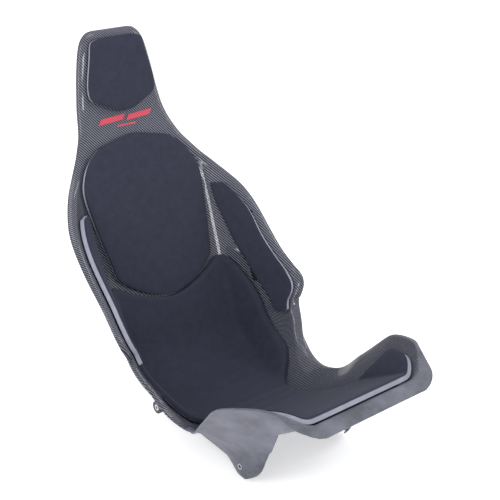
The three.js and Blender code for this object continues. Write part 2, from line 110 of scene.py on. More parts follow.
def table(rows):
    """A smooth curve through rows of (key, value, ...), with straight ends."""
    keys = np.array([row[0] for row in rows], float)
    values = np.array([row[1:] for row in rows], float)
    last = len(keys) - 1

    def at(where):
        t = np.clip(np.asarray(where, float), keys[0], keys[-1])
        i = np.clip(np.searchsorted(keys, t, side="right"), 1, last)
        t0, t1 = keys[i - 1], keys[i]
        before = np.where(i >= 2, i - 2, i)
        after = np.where(i < last, np.minimum(i + 1, last), i - 1)
        half = (t1 - t0) * 0.5
        w_before = half / (t0 - keys[before])
        w_after = half / (keys[after] - t1)
        p = (t - t0) / (t1 - t0)
        p2, p3 = p * p, p * p * p
        s_before = w_before * (-p3 + 2 * p2 - p)
        s0 = (1 + w_before) * p3 + (-1.5 - 2 * w_before) * p2 + (w_before - 0.5) * p + 1
        s1 = (-1 - w_after) * p3 + (1.5 + w_after) * p2 + 0.5 * p
        s_after = w_after * (p3 - p2)
        parts = ((s_before, before), (s0, i - 1), (s1, i), (s_after, after))
        return sum(weight[..., None] * values[which] for weight, which in parts)

    return at


section_at = table(SECTIONS)
edge_at = table(EDGE)


# -------------------------------------------------------------- seat surface
def place(x, down, out):
    forward = down * math.sin(RECLINE) + out * math.cos(RECLINE)
    drop = down * math.cos(RECLINE) - out * math.sin(RECLINE)
    x, y, z = np.broadcast_arrays(x, ORIGIN_Y - forward, ORIGIN_Z - drop)
    return np.stack([x, y, z], axis=-1)


def spine(along):
    """Middle line of the shell, and the direction in which its wings stand up."""
    slope = (HEAD_LEAN - NECK_DIP) / (HEAD_TOP - NECK)
    past = (along - NECK) / 45
    corner = 22.5 * (np.sqrt(past * past + 1) + past)
    level = NECK_DIP + slope * (along - NECK) + (NECK_DIP / NECK - slope) * corner
    head = level * (1 - smoothstep(along, -40, 0))
    turn = np.radians(np.clip(along - BEND_START, 0, 90))
    reach = 1 / np.hypot(np.sin(turn) / BEND_DROP, np.cos(turn) / BEND_REACH)
    run = np.clip((along - BEND_END) / PAN_LENGTH, 0, 1)
    down = np.minimum(along, BEND_START) + reach * np.sin(turn)
    down = np.where(along > BEND_END, BEND_START + BEND_DROP - PAN_RISE * run**1.6, down)
    out = BEND_REACH - reach * np.cos(turn)
    out = np.where(along <= BEND_START, np.where(along <= 0, head, 0), out)
    out = np.where(along > BEND_END, BEND_REACH + PAN_LENGTH * run, out)
    return down, out, turn


def section(along, across):
    """Half section: flat floor, knuckle arc, straight wing."""
    rows = section_at(along)
    angle = np.radians(np.maximum(rows[..., 1], 0.5))
    flat = rows[..., 0] - KNUCKLE_RADIUS * np.tan(angle / 2)
    v = np.abs(across)
    turn = np.clip((v - flat) / KNUCKLE_RADIUS, 0, angle)
    wall = np.maximum(v - flat - KNUCKLE_RADIUS * angle, 0)
    x = np.minimum(v, flat) + KNUCKLE_RADIUS * np.sin(turn) + wall * np.cos(angle)
    height = KNUCKLE_RADIUS * (1 - np.cos(turn)) + wall * np.sin(angle)
    return np.sign(across) * x, height


def bare(along, across):
    down, out, lean = spine(along)
    x, height = section(along, across)
    return place(x, down - height * np.sin(lean), out + height * np.cos(lean))


def unit(v):
    return v / np.linalg.norm(v, axis=-1, keepdims=True)


def inside(along, across):
    limit = edge_at(along)[..., 0]
    return np.clip(across, -limit, limit)


def normal_of(surface, along, across):
    """Unit normal into the seat, from small steps over a surface."""
    limit = edge_at(along)[..., 0]
    a0, a1 = np.maximum(along - 0.5, HEAD_TOP), np.minimum(along + 0.5, LIP)
    v0, v1 = np.maximum(across - 0.5, -limit), np.minimum(across + 0.5, limit)
    downward = surface(a1, inside(a1, across)) - surface(a0, inside(a0, across))
    sideways = surface(along, v1) - surface(along, v0)
    return -unit(np.cross(sideways, downward))


def edge_loop(steps=520):
    share = (1 - np.cos(np.linspace(0, np.pi, steps + 1))) / 2
    along = HEAD_TOP + (LIP - HEAD_TOP) * share
    limit = edge_at(along)[..., 0]
    right, left = bare(along, limit), bare(along, -limit)[::-1]
    return np.concatenate([right, left, right[:1]])


LOOP = edge_loop()


def edge_distance(points):
    start, step = LOOP[:-1], np.diff(LOOP, axis=0)
    length2 = np.maximum((step**2).sum(1), 1e-9)
    result = np.empty(len(points))
    for k in range(0, len(points), 1500):
        offset = points[k:k + 1500, None] - start
        share = np.clip((offset * step).sum(2) / length2, 0, 1)
        gap = offset - share[..., None] * step
        result[k:k + 1500] = np.sqrt((gap**2).sum(2).min(1))
    return result


def flange_at(along):
    tighten = smoothstep(along, BEND_START + 60, BEND_END + 5)
    grow = smoothstep(along, LIP - 60, LIP - 15)
    radius = (FLANGE_RADIUS + (LEG_RADIUS - FLANGE_RADIUS) * tighten
              + (LIP_RADIUS - LEG_RADIUS) * grow)
    return radius, radius * math.sin(FLANGE_TURN)


def face(along, across):
    """Inner face of the shell, with the free edge rolled back into a flange."""
    along, across = np.broadcast_arrays(np.asarray(along, float), np.asarray(across, float))
    shape = along.shape
    a, v = along.ravel(), across.ravel()
    point = bare(a, v)
    radius, reach = flange_at(a)
    near_side = edge_at(a)[..., 0] - np.abs(v) < 90
    near_end = np.minimum(a - HEAD_TOP, LIP - a) < 60
    near = np.nonzero(near_side | near_end)[0]
    inward = np.full(len(a), 1e9)
    inward[near] = edge_distance(point[near])
    rolled = np.nonzero(inward < reach)[0]
    if len(rolled):
        r = radius[rolled]
        share = math.sin(FLANGE_TURN) - inward[rolled] / r
        drop = r * (1 - np.cos(np.arcsin(share)))
        point[rolled] -= drop[:, None] * normal_of(bare, a[rolled], v[rolled])
    return point.reshape(shape + (3,))


def along_at(out):
    """Where the spine reaches a distance forward of the back."""
    keys = np.linspace(BEND_START, LIP, 900)
    return np.interp(out, spine(keys)[1], keys)


# ------------------------------------------------------------------- meshing
def border(grid):
    """The rim of a grid as one loop."""
    return np.concatenate([grid[0], grid[1:, -1], grid[-1, -2::-1], grid[-2:0:-1, 0]])


def grid_normals(grid):
    return unit(np.cross(np.gradient(grid, axis=1), np.gradient(grid, axis=0)))


def rim_outward(loop, normal, grid):
    """Unit steps out of a grid's rim, along its surface."""
    tangent = np.roll(loop, -1, 0) - np.roll(loop, 1, 0)
    step = unit(np.cross(tangent, border(normal)))
    away = loop - grid.reshape(-1, 3).mean(0)
    return step * np.sign((step * away).sum(1).mean())


def cumulative(grid, axis):
    step = np.linalg.norm(np.diff(grid, axis=axis), axis=2)
    start = np.zeros_like(np.take(step, [0], axis=axis))
    return np.concatenate([start, np.cumsum(step, axis=axis)], axis=axis)


def closed_mesh(name, top, bottom, rings=(), uv=None, near_slot=0, far_slot=0, sharp=40):
    """A closed mesh between two grids, with any extra loops down its rim."""
    rows, cols = top.shape[:2]
    count = rows * cols
    index = np.arange(count).reshape(rows, cols)
    points = [top.reshape(-1, 3), bottom.reshape(-1, 3)]
    loops = [border(index)]
    offset = 2 * count
    for ring in rings:
        points.append(ring)
        loops.append(offset + np.arange(len(ring)))
        offset += len(ring)
    loops.append(border(index) + count)

    def quads(ids):
        return np.stack([ids[:-1, :-1], ids[1:, :-1], ids[1:, 1:], ids[:-1, 1:]], 2).reshape(-1, 4)

    faces = [quads(index), quads(index + count)[:, ::-1]]
    near_slots = np.broadcast_to(near_slot, (rows, cols))
    slots = [near_slots[:-1, :-1].ravel(), np.full(len(faces[1]), far_slot)]
    for a, b in zip(loops[:-1], loops[1:]):
        wall = np.stack([a, np.roll(a, -1), np.roll(b, -1), b], 1)
        faces.append(wall)
        slots.append(border(near_slots))
    mesh = bpy.data.meshes.new(name)
    mesh.from_pydata(np.concatenate(points) * MM, [], np.concatenate(faces).tolist())
    mesh.polygons.foreach_set("material_index", np.concatenate(slots).astype(int))
    if uv is not None:
        flat = uv.reshape(-1, 2)
        rim = border(uv)
        every = np.concatenate([flat, flat] + [rim] * len(rings)) * MM
        layer = mesh.uv_layers.new(name="weave")
        corner = np.empty(len(mesh.loops), int)
        mesh.loops.foreach_get("vertex_index", corner)
        layer.data.foreach_set("uv", every[corner].ravel())
    return finish_mesh(name, mesh, sharp)


def finish_mesh(name, mesh, sharp=40):
    work = bmesh.new()
    work.from_mesh(mesh)
    bmesh.ops.recalc_face_normals(work, faces=work.faces)
    work.to_mesh(mesh)
    work.free()
    mesh.shade_smooth()
    if sharp:
        mesh.set_sharp_from_angle(angle=math.radians(sharp))
    obj = bpy.data.objects.new(name, mesh)
    bpy.context.collection.objects.link(obj)
    return obj


def apply_modifiers(obj):
    graph = bpy.context.evaluated_depsgraph_get()
    mesh = bpy.data.meshes.new_from_object(obj.evaluated_get(graph))
    obj.modifiers.clear()
    old = obj.data
    obj.data = mesh
    bpy.data.meshes.remove(old)


# ----------------------------------------------------------------- materials
class Look:
    """A node material with a few short hands."""

    def __init__(self, name, **settings):
        self.material = bpy.data.materials.new(name)
        self.material.use_nodes = True
        self.tree = self.material.node_tree
        self.shader = self.tree.nodes["Principled BSDF"]
        for key, value in settings.items():
            self.shader.inputs[key.replace("_", " ")].default_value = value

    def node(self, kind, inputs=(), **settings):
        made = self.tree.nodes.new(kind)
        for key, value in settings.items():
            setattr(made, key, value)
        for key, value in dict(inputs).items():
            if isinstance(value, bpy.types.NodeSocket):
                self.tree.links.new(value, made.inputs[key])
            else:
                made.inputs[key].default_value = value
        return made

    def math(self, operation, a, b=0.0, c=0.0):
        return self.node("ShaderNodeMath", {0: a, 1: b, 2: c}, operation=operation).outputs[0]

    def mix(self, share, a, b):
        made = self.node("ShaderNodeMix", {"Factor": share, "A": a, "B": b}, data_type="RGBA")
        return made.outputs["Result"]

    def ramp(self, value, low, high, to_low=0.0, to_high=1.0):
        inputs = {"Value": value, 1: low, 2: high, 3: to_low, 4: to_high}
        return self.node("ShaderNodeMapRange", inputs).outputs[0]

    def place(self, scale=(1, 1, 1)):
        where = self.node("ShaderNodeTexCoord").outputs["Object"]
        return self.node("ShaderNodeMapping", {"Vector": where, "Scale": scale}).outputs[0]

    def noise(self, where, scale, detail=3.0, roughness=0.5):
        inputs = {"Vector": where, "Scale": scale, "Detail": detail, "Roughness": roughness}
        return self.node("ShaderNodeTexNoise", inputs).outputs["Fac"]

    def bump(self, height, distance, strength=1.0, under=None):
        inputs = {"Height": height, "Distance": distance, "Strength": strength}
        if under is not None:
            inputs["Normal"] = under
        return self.node("ShaderNodeBump", inputs).outputs[0]

    def feed(self, **sockets):
        for key, value in sockets.items():
            self.tree.links.new(value, self.shader.inputs[key.replace("_", " ")])
        return self.material


TOW = 0.0018


def weave_coordinates(look, turn=-6):
    uv = look.node("ShaderNodeUVMap", uv_map="weave").outputs[0]
    inputs = {"Vector": uv, "Rotation": (0, 0, math.radians(turn)), "Scale": (1 / TOW,) * 3}
    mapped = look.node("ShaderNodeMapping", inputs).outputs[0]
    split = look.node("ShaderNodeSeparateXYZ", {0: mapped})
    return mapped, split.outputs[0], split.outputs[1]


def twill(look):
    """2x2 twill: which tow is on top, its crown, and the fibres along it."""
    mapped, u, v = weave_coordinates(look)
    step = look.math("SUBTRACT", look.math("FLOOR", u), look.math("FLOOR", v))
    warp = look.math("LESS_THAN", look.math("FLOORED_MODULO", step, 4.0), 1.99)

    def crown(value):
        centred = look.math("SUBTRACT", look.math("FRACT", value), 0.5)
        return look.math("MULTIPLY_ADD", look.math("MULTIPLY", centred, centred), -4.0, 1.0)

    def fibres(scale):
        stretched = look.node("ShaderNodeMapping", {"Vector": mapped, "Scale": scale})
        return look.noise(stretched.outputs[0], 1.0, 2.0, 0.6)

    def choose(a, b):
        made = look.node("ShaderNodeMix", {"Factor": warp, "A": b, "B": a}, data_type="FLOAT")
        return made.outputs["Result"]

    return warp, choose(crown(u), crown(v)), choose(fibres((7, 0.5, 1)), fibres((0.5, 7, 1)))


def carbon_gloss():
    look = Look("carbon_gloss", Metallic=0.3, Coat_Weight=0.65, Coat_Roughness=0.05,
                Coat_IOR=1.43, Specular_IOR_Level=0.1)
    warp, crown, fibre = twill(look)
    # Painted sheen: the carbon is black throughout, and the bright and dark tows stand in for how each
    # tow's fibre direction catches the light.
    tone = look.mix(warp, (0.002, 0.002, 0.004, 1), (0.165, 0.171, 0.222, 1))
    # Painted shade on the tows: each crown is lighter and its rounded sides darker. The fibre streaks
    # along each tow are the weave's own texture.
    shade = look.ramp(look.math("MULTIPLY", crown, fibre), 0.05, 0.6, 0.35, 1.25)
    colour = look.node("ShaderNodeVectorMath", {0: tone, 1: shade}, operation="MULTIPLY")
    cloud = look.ramp(look.noise(look.place(), 14.0, 4.0), 0.3, 0.7, 0.36, 0.46)
    dust = look.noise(look.place(), 900.0, 2.0)
    normal = look.bump(look.math("ADD", crown, look.math("MULTIPLY", dust, 0.1)), 0.00022, 0.8)
    return look.feed(Base_Color=colour.outputs[0], Roughness=cloud, Normal=normal)


def carbon_matte():
    """Outer face: dull grey resin with the print of the bagging cloth."""
    look = Look("carbon_matte", Metallic=0.0, Specular_IOR_Level=0.45)
    where = look.place()
    smudge = look.noise(where, 11.0, 7.0, 0.66)
    speck = look.noise(where, 620.0, 3.0, 0.7)
    _, crown, fibre = twill(look)
    tone = look.mix(look.ramp(smudge, 0.36, 0.62), (0.054, 0.057, 0.076, 1),
                    (0.128, 0.132, 0.170, 1))
    grain = look.ramp(look.math("ADD", look.math("MULTIPLY", fibre, 0.3), speck), 0.35, 1.0,
                      0.86, 1.12)
    colour = look.node("ShaderNodeVectorMath", {0: tone, 1: grain}, operation="MULTIPLY")
    rough = look.ramp(smudge, 0.3, 0.7, 0.42, 0.6)
    cloth = look.bump(look.math("ADD", look.math("MULTIPLY", crown, 0.3), speck), 0.00012, 0.6)
    normal = look.bump(smudge, 0.0025, 0.35, cloth)
    return look.feed(Base_Color=colour.outputs[0], Roughness=rough, Normal=normal)


def cover_fabric():
    look = Look("cover_fabric", Sheen_Weight=0.06, Sheen_Roughness=0.45,
                Sheen_Tint=(0.75, 0.78, 1.0, 1), Specular_IOR_Level=0.12)
    where = look.place()
    nap = look.noise(where, 55.0, 5.0, 0.6)
    yarn = look.noise(look.place((1, 0.25, 0.25)), 1500.0, 2.0, 0.6)
    cross = look.noise(look.place((0.25, 1, 1)), 1500.0, 2.0, 0.6)
    knit = look.math("ADD", yarn, cross)
    tone = look.mix(look.ramp(nap, 0.3, 0.7), (0.022, 0.0235, 0.038, 1),
                    (0.029, 0.031, 0.049, 1))
    shade = look.ramp(knit, 0.7, 1.3, 0.82, 1.2)
    colour = look.node("ShaderNodeVectorMath", {0: tone, 1: shade}, operation="MULTIPLY")
    rough = look.ramp(nap, 0.3, 0.7, 0.84, 0.97)
    normal = look.bump(nap, 0.0012, 0.25, look.bump(knit, 0.0003, 0.55))
    return look.feed(Base_Color=colour.outputs[0], Roughness=rough, Normal=normal)


def foam_grey():
    look = Look("foam_grey", Specular_IOR_Level=0.3)
    where = look.place()
    cells = look.node("ShaderNodeTexVoronoi", {"Vector": where, "Scale": 1100.0})
    cell = look.ramp(cells.outputs["Distance"], 0.0, 0.7)
    patch = look.noise(where, 40.0, 4.0)
    tone = look.mix(look.ramp(patch, 0.3, 0.7), (0.26, 0.265, 0.335, 1), (0.35, 0.355, 0.44, 1))
    colour = look.mix(look.math("MULTIPLY", cell, 0.35), tone, (0.17, 0.17, 0.21, 1))
    rough = look.ramp(cell, 0, 1, 0.8, 0.98)
    return look.feed(Base_Color=colour, Roughness=rough, Normal=look.bump(cell, 0.0004, 0.6))


def hook_tape():
    look = Look("hook_tape", Specular_IOR_Level=0.2)
    where = look.place()
    hooks = look.node("ShaderNodeTexVoronoi", {"Vector": where, "Scale": 900.0}).outputs[0]
    colour = look.mix(look.ramp(hooks, 0, 0.6), (0.03, 0.03, 0.033, 1), (0.008, 0.008, 0.009, 1))
    rough = look.ramp(look.noise(where, 300.0), 0.3, 0.7, 0.85, 1.0)
    return look.feed(Base_Color=colour, Roughness=rough, Normal=look.bump(hooks, 0.0006, 0.9))


def red_film():
    look = Look("red_film", Coat_Weight=0.7, Coat_Roughness=0.12)
    where = look.place()
    worn = look.noise(where, 420.0, 5.0, 0.65)
    colour = look.mix(look.ramp(worn, 0.52, 0.68), (0.46, 0.018, 0.045, 1), (0.30, 0.012, 0.03, 1))
    rough = look.ramp(worn, 0.3, 0.7, 0.32, 0.55)
    return look.feed(Base_Color=colour, Roughness=rough, Normal=look.bump(worn, 0.0002, 0.3))


def turned_steel():
    look = Look("turned_steel", Metallic=1.0)
    rings = look.noise(look.place((1, 0.2, 0.2)), 2200.0, 3.0)
    cloud = look.noise(look.place(), 160.0, 4.0)
    colour = look.mix(look.ramp(cloud, 0.3, 0.7), (0.48, 0.49, 0.5, 1), (0.7, 0.7, 0.71, 1))
    rough = look.ramp(look.math("ADD", rings, cloud), 0.7, 1.3, 0.22, 0.42)
    return look.feed(Base_Color=colour, Roughness=rough, Normal=look.bump(rings, 0.0001, 0.4))


def boss_resin():
    look = Look("boss_resin", Specular_IOR_Level=0.4)
    where = look.place()
    glass = look.noise(where, 700.0, 4.0, 0.7)
    cloud = look.noise(where, 60.0, 3.0)
    colour = look.mix(look.ramp(cloud, 0.3, 0.7), (0.02, 0.02, 0.024, 1), (0.04, 0.04, 0.045, 1))
    rough = look.ramp(glass, 0.3, 0.7, 0.45, 0.65)
    return look.feed(Base_Color=colour, Roughness=rough, Normal=look.bump(glass, 0.0002, 0.5))


CARBON_GLOSS, CARBON_MATTE = carbon_gloss(), carbon_matte()
FABRIC, FOAM_GREY = cover_fabric(), foam_grey()


def dress(obj, *materials):
    if len(obj.data.materials):
        obj.data.materials.clear()
    for material in materials:
        obj.data.materials.append(material)


# --------------------------------------------------------------------- shell
RIM_ROUND = 0.9
ROLL = np.array([0, 0.015, 0.05, 0.11, 0.2, 0.31, 0.44, 0.6, 0.79, 1])


def shell_rows():
    top = HEAD_TOP + ROLL * flange_at(HEAD_TOP)[1]
    lip = (LIP - ROLL * flange_at(LIP)[1])[::-1]
    back = np.linspace(top[-1], BEND_START, 118)[1:]
    bend = np.linspace(BEND_START, BEND_END, 56)[1:]
    pan = np.linspace(BEND_END, lip[0], 54)[1:-1]
    return np.concatenate([top, back, bend, pan, lip])


def shell_columns(along):
    knuckle, degrees = section_at(along)
    angle = math.radians(max(degrees, 0.5))
    limit = edge_at(along)[0]
    roll = limit - flange_at(along)[1]
    flat = min(knuckle - KNUCKLE_RADIUS * math.tan(angle / 2), 0.78 * roll)
    bend = float(np.clip(flat + KNUCKLE_RADIUS * angle, 1.08 * flat, 0.95 * roll))
    outer = (limit - ROLL * (limit - roll))[::-1]
    half = [np.linspace(0, flat, 14), np.linspace(flat, bend, 13)[1:],
            np.linspace(bend, roll, 25)[1:], outer[1:]]
    half = np.concatenate(half)
    return np.concatenate([-half[:0:-1], half])


def build_shell():
    rows = shell_rows()
    across = np.stack([shell_columns(float(along)) for along in rows])
    along = np.broadcast_to(rows[:, None], across.shape)
    near = face(along, across)
    normal = grid_normals(near)
    if (normal[100, 60] * normal_of(bare, rows[100], 0.0)).sum() < 0:
        normal = -normal
    for ends in (slice(0, 16), slice(-16, None)):
        normal[ends] = normal_of(face, along[ends], across[ends])
    far = near - normal * LAMINATE
    middle = near.shape[1] // 2
    u = cumulative(near, 1)
    u = u - u[:, middle:middle + 1]
    v = np.broadcast_to(cumulative(near, 0)[:, middle:middle + 1], u.shape)
    rim = border(near)
    ring = (rim + border(far)) / 2 + rim_outward(rim, normal, near) * RIM_ROUND
    uv = np.stack([u, v], -1)
    inward = edge_at(along)[..., 0] - np.abs(across)
    rolled = (along > BEND_END - 8) & (inward < 0.8 * flange_at(along)[1])
    dull = (rolled | (along > LIP - 34)).astype(int)
    shell = closed_mesh("seat_shell", near, far, [ring], uv, dull, 1, 55)
    dress(shell, CARBON_GLOSS, CARBON_MATTE)
    return shell


# ---------------------------------------------------------------------- feet
# share of the drop, middle and half length forward of the back
foot_at = table([
    (0, 315, 175), (0.2, 322, 132), (0.34, 328, 108), (0.46, 343, 82), (0.66, 343, 61),
    (0.8, 341, 50), (0.93, 340, 35), (1, 345, 17),
])
FOOT_SPREAD, FOOT_BULGE = 1.3, 20.0
FOOT_TOP, FOOT_ENDS, FOOT_FREE = 92.0, 14.0, 0.45
FOOT_EDGE_GAP, FOOT_SINK, FOOT_THIN, FOOT_RIM_ROUND = 18.0, 0.35, 0.8, 0.8


def foot_outer(fall, t):
    middle, half = np.moveaxis(foot_at(fall), -1, 0)
    out = middle + half * np.sin(t * FOOT_SPREAD) / math.sin(FOOT_SPREAD)
    arch = (np.cos(t * FOOT_SPREAD) - math.cos(FOOT_SPREAD)) / (1 - math.cos(FOOT_SPREAD))
    x = FOOT_X - FOOT_BULGE * (1 - arch)
    along = along_at(out)
    wide = np.linspace(0, 260, 261)
    sample = section(along[..., None], wide)
    across = np.array([np.interp(a, b, wide) for a, b in zip(x.ravel(), sample[0].reshape(-1, 261))])
    across = across.reshape(x.shape)
    down, _, lean = spine(along)
    height = section(along, across)[1]
    start = down - height * np.sin(lean) + LAMINATE * 0.55
    tip = BEND_START + BEND_DROP + FOOT_TIP
    return place(x, start + (tip - start) * fall, out), along, across


def build_foot(name, side):
    t = np.linspace(-1, 1, 61)
    zero = np.zeros_like(t)
    _, along, across = foot_outer(zero, t)

    def skin(up):
        return bare(along, across + up) - LAMINATE * normal_of(bare, along, across + up)

    rise = FOOT_ENDS + (FOOT_TOP - FOOT_ENDS) * (1 - t * t) ** 0.35
    rise = np.clip(rise, 6, edge_at(along)[:, 0] - across - FOOT_EDGE_GAP)
    high = skin(rise) + FOOT_SINK * normal_of(bare, along, across + rise)
    free = foot_outer(zero + FOOT_FREE, t)[0]
    fall_line = unit(skin(rise - 2) - skin(rise))
    step = np.clip((free[:, 0] - high[:, 0]) / np.minimum(fall_line[:, 0], -0.2), 0, 60)
    corner = high + fall_line * step[:, None]
    s = np.linspace(0, 1, 22)[:, None, None]
    blend = ((1 - s) ** 3 * high + 3 * (1 - s) ** 2 * s * lerp(high, corner, 0.5)
             + 3 * (1 - s) * s**2 * lerp(free, corner, 0.5) + s**3 * free)
    falls = np.linspace(FOOT_FREE, 1, 40)[1:]
    lower = np.stack([foot_outer(zero + fall, t)[0] for fall in falls])
    outer = np.concatenate([blend, lower])
    normal = grid_normals(outer)
    normal = normal * np.sign(normal[30, 30, 0])
    rows = np.arange(len(outer))[:, None, None]
    thick = FOOT_THIN + (LAMINATE - FOOT_THIN) * smoothstep(rows, 6, 22)
    inner = outer - normal * thick
    rim = (border(outer) + border(inner)) / 2
    ring = rim + rim_outward(rim, normal, outer) * FOOT_RIM_ROUND
    length = cumulative(outer, 1)
    fall = np.broadcast_to(cumulative(outer, 0)[:, 30:31], length.shape)
    uv = np.stack([length, fall], -1)
    if side < 0:
        outer, inner, ring = (part * (-1, 1, 1) for part in (outer, inner, ring))
    foot = closed_mesh(name, outer, inner, [ring], uv, sharp=50)
    cutter = bmesh.new()
    spin = Matrix.Translation((side * FOOT_X * MM, 0, 0)) @ Matrix.Rotation(math.pi / 2, 4, "Y")
    radius = (BOLT_SLEEVE + GAP) * MM
    bmesh.ops.create_cone(cutter, cap_ends=True, segments=48, radius1=radius, radius2=radius,
                          depth=0.06, matrix=spin)
    drill_mesh = bpy.data.meshes.new("drill")
    cutter.to_mesh(drill_mesh)
    cutter.free()
    drill = bpy.data.objects.new("drill", drill_mesh)
    bpy.context.collection.objects.link(drill)
    hole = foot.modifiers.new("hole", "BOOLEAN")
    hole.operation, hole.object, hole.solver = "DIFFERENCE", drill, "EXACT"
    apply_modifiers(foot)
    bpy.data.objects.remove(drill)
    bpy.data.meshes.remove(drill_mesh)
    dress(foot, CARBON_MATTE)
    return foot


# ------------------------------------------------------------------ cushions
FOAM_LOW = GAP + TAPE + GAP
FOAM_HIGH = FOAM_LOW + FOAM
COVER_LOW = FOAM_HIGH + GAP
CROWN = 3.0
CLOTH_FRAMES = 20


def smooth_loop(loop, passes):
    for _ in range(passes):
        loop = 0.5 * loop + 0.25 * (np.roll(loop, 1, 0) + np.roll(loop, -1, 0))
    return loop


def coons(grid, loop):
    """Fills a grid again from a new rim."""
    rows, cols = grid.shape[:2]
    made = grid.copy()
    made[0] = loop[:cols]
    made[1:, -1] = loop[cols:cols + rows - 1]
    made[-1, -2::-1] = loop[cols + rows - 1:2 * cols + rows - 2]
    made[-2:0:-1, 0] = loop[2 * cols + rows - 2:]
    shift = np.zeros_like(grid)
    shift[0], shift[-1] = made[0] - grid[0], made[-1] - grid[-1]
    shift[:, 0], shift[:, -1] = made[:, 0] - grid[:, 0], made[:, -1] - grid[:, -1]
    u = np.linspace(0, 1, rows)[:, None, None]
    w = np.linspace(0, 1, cols)[None, :, None]
    ends = (1 - u) ** 4 * shift[0] + u**4 * shift[-1]
    sides = (1 - w) ** 4 * shift[:, :1] + w**4 * shift[:, -1:]
    both = ((1 - u) ** 4 * ((1 - w) ** 4 * shift[0, 0] + w**4 * shift[0, -1])
            + u**4 * ((1 - w) ** 4 * shift[-1, 0] + w**4 * shift[-1, -1]))
    made[1:-1, 1:-1] = (grid + ends + sides - both)[1:-1, 1:-1]
    return made


def rim_distance(grid):
    flat, rim = grid.reshape(-1, 3), border(grid)
    gaps = [np.linalg.norm(flat[k:k + 1000, None] - rim, axis=2).min(1)
            for k in range(0, len(flat), 1000)]
    return np.concatenate(gaps).reshape(grid.shape[:2])


def inflate(name, grid):
    """Lets the cover's sheet swell over its foam, held at the rim."""
    rows, cols = grid.shape[:2]
    index = np.arange(rows * cols).reshape(rows, cols)
    faces = np.stack([index[:-1, :-1], index[1:, :-1], index[1:, 1:], index[:-1, 1:]], 2)
    mesh = bpy.data.meshes.new(name)
    mesh.from_pydata(grid.reshape(-1, 3) * MM, [], faces.reshape(-1, 4).tolist())
    sheet = bpy.data.objects.new(name, mesh)
    bpy.context.collection.objects.link(sheet)
    held = sheet.vertex_groups.new(name="rim")
    held.add([int(i) for i in border(index)], 1.0, "REPLACE")
    cloth = sheet.modifiers.new("cloth", "CLOTH")
    settings = cloth.settings
    settings.quality = 6
    settings.mass = 0.25
    settings.tension_stiffness = settings.compression_stiffness = 18
    settings.shear_stiffness = 8
    settings.bending_stiffness = 1.5
    settings.vertex_group_mass = "rim"
    settings.use_pressure = True
    settings.uniform_pressure_force = 4
    settings.effector_weights.gravity = 0
    cloth.collision_settings.use_self_collision = False
    cloth.point_cache.frame_start, cloth.point_cache.frame_end = 1, CLOTH_FRAMES
    scene = bpy.context.scene
    for number in range(1, CLOTH_FRAMES + 1):
        scene.frame_set(number)
    graph = bpy.context.evaluated_depsgraph_get()
    swollen = sheet.evaluated_get(graph).to_mesh()
    points = np.empty(rows * cols * 3, np.float32)
    swollen.vertices.foreach_get("co", points)
    scene.frame_set(1)
    bpy.data.objects.remove(sheet)
    bpy.data.meshes.remove(mesh)
    return points.reshape(rows, cols, 3).astype(float) * 1000


def cushion(name, along, across, passes=12, wrap=None):
    outline = np.stack([along, across], -1)
    rounded = coons(outline, smooth_loop(border(outline), passes))
    along, across = rounded[..., 0], rounded[..., 1]
    base, normal = face(along, across), normal_of(face, along, across)
    middle = base + normal * (COVER_LOW + COVER / 2)
    inset = rim_distance(middle)[..., None]
    rise = inflate(f"{name}_sheet", middle) - middle
    lift = np.maximum((rise * normal).sum(-1, keepdims=True), 0)
    rise = CROWN * np.tanh(lift / CROWN) * normal
    soft = 1.6 * (1 - smoothstep(inset, 0, 6))
    rim = border(base)
    outward_step = rim_outward(rim, normal, base)

    def layer(height):
        return base + normal * height + rise

    top = layer(COVER_LOW + COVER - soft)
    under = layer(COVER_LOW - 0.35 * soft)
    lap = border(base + normal * (COVER_LOW + 0.1)) + outward_step * 0.35
    hem = []
    if wrap is not None:
        depth = wrap(border(along))[:, None]
        for share in (0.35, 0.75, 1.0):
            height = COVER_LOW - (COVER_LOW - FOAM_LOW) * depth * share
            hem.append(rim + border(normal) * height + outward_step * (0.35 + 0.85 * min(share, 0.75)))
        height = COVER_LOW - (COVER_LOW - FOAM_LOW) * depth
        hem.append(rim + border(normal) * height + outward_step * 0.25)
    cover = closed_mesh(f"{name}_fabric", top, under, [lap] + hem, sharp=70)
    foam_top = layer(FOAM_HIGH - 0.5 * soft) - normal * 0.1
    foam_low = base + normal * FOAM_LOW
    sides = [border(foam_top) + outward_step * 0.1 - border(normal) * 0.8]
    for share in (0.7, 0.35):
        height = FOAM_LOW + (FOAM - 1) * share
        sides.append(rim + border(normal) * height + outward_step * (0.1 - 0.4 * share))
    foam = closed_mesh(f"{name}_pad", foam_top, foam_low, sides, sharp=60)
    dress(cover, FABRIC)
    dress(foam, FOAM_GREY)
    for piece, part, slot_name in ((cover, "cover", "cover_fabric"), (foam, "foam", "foam")):
        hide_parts(f"{name}_{part}")
        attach(piece, "root")


head_half = table([(HEAD_TOP, 62), (-246, 67), (-208, 75), (-130, 90), (-110, 87)])
back_half = table([
    (-22, 92), (0, 100), (30, 134), (68, 160), (92, 166), (160, 159), (216, 149),
    (308, 134), (372, 128),
])
seat_half = table([
    (312, 176), (324, 187), (344, 200), (370, 216), (400, 231), (452, 250), (470, 252),
    (484, 244),
    (496, 231), (504, 214), (510, 192), (516, 152), (524, 120), (534, 108), (550, 104),
    (600, 102), (650, 103), (664, 113), (674, 143), (688, 173), (706, 193), (730, 212),
    (750, 227), (762, 231), (778, 225), (800, 215), (822, 204), (840, 190), (852, 174),
    (862, 150), (868, 120),
])
wing_inner = table([
    (130, 187), (184, 189), (240, 201), (304, 217), (364, 241), (430, 268), (474, 287),
])
wing_outer = table([
    (130, 208), (176, 240), (232, 268), (292, 285), (352, 311), (400, 336), (425, 343),
    (440, 339), (456, 328), (474, 311),
])


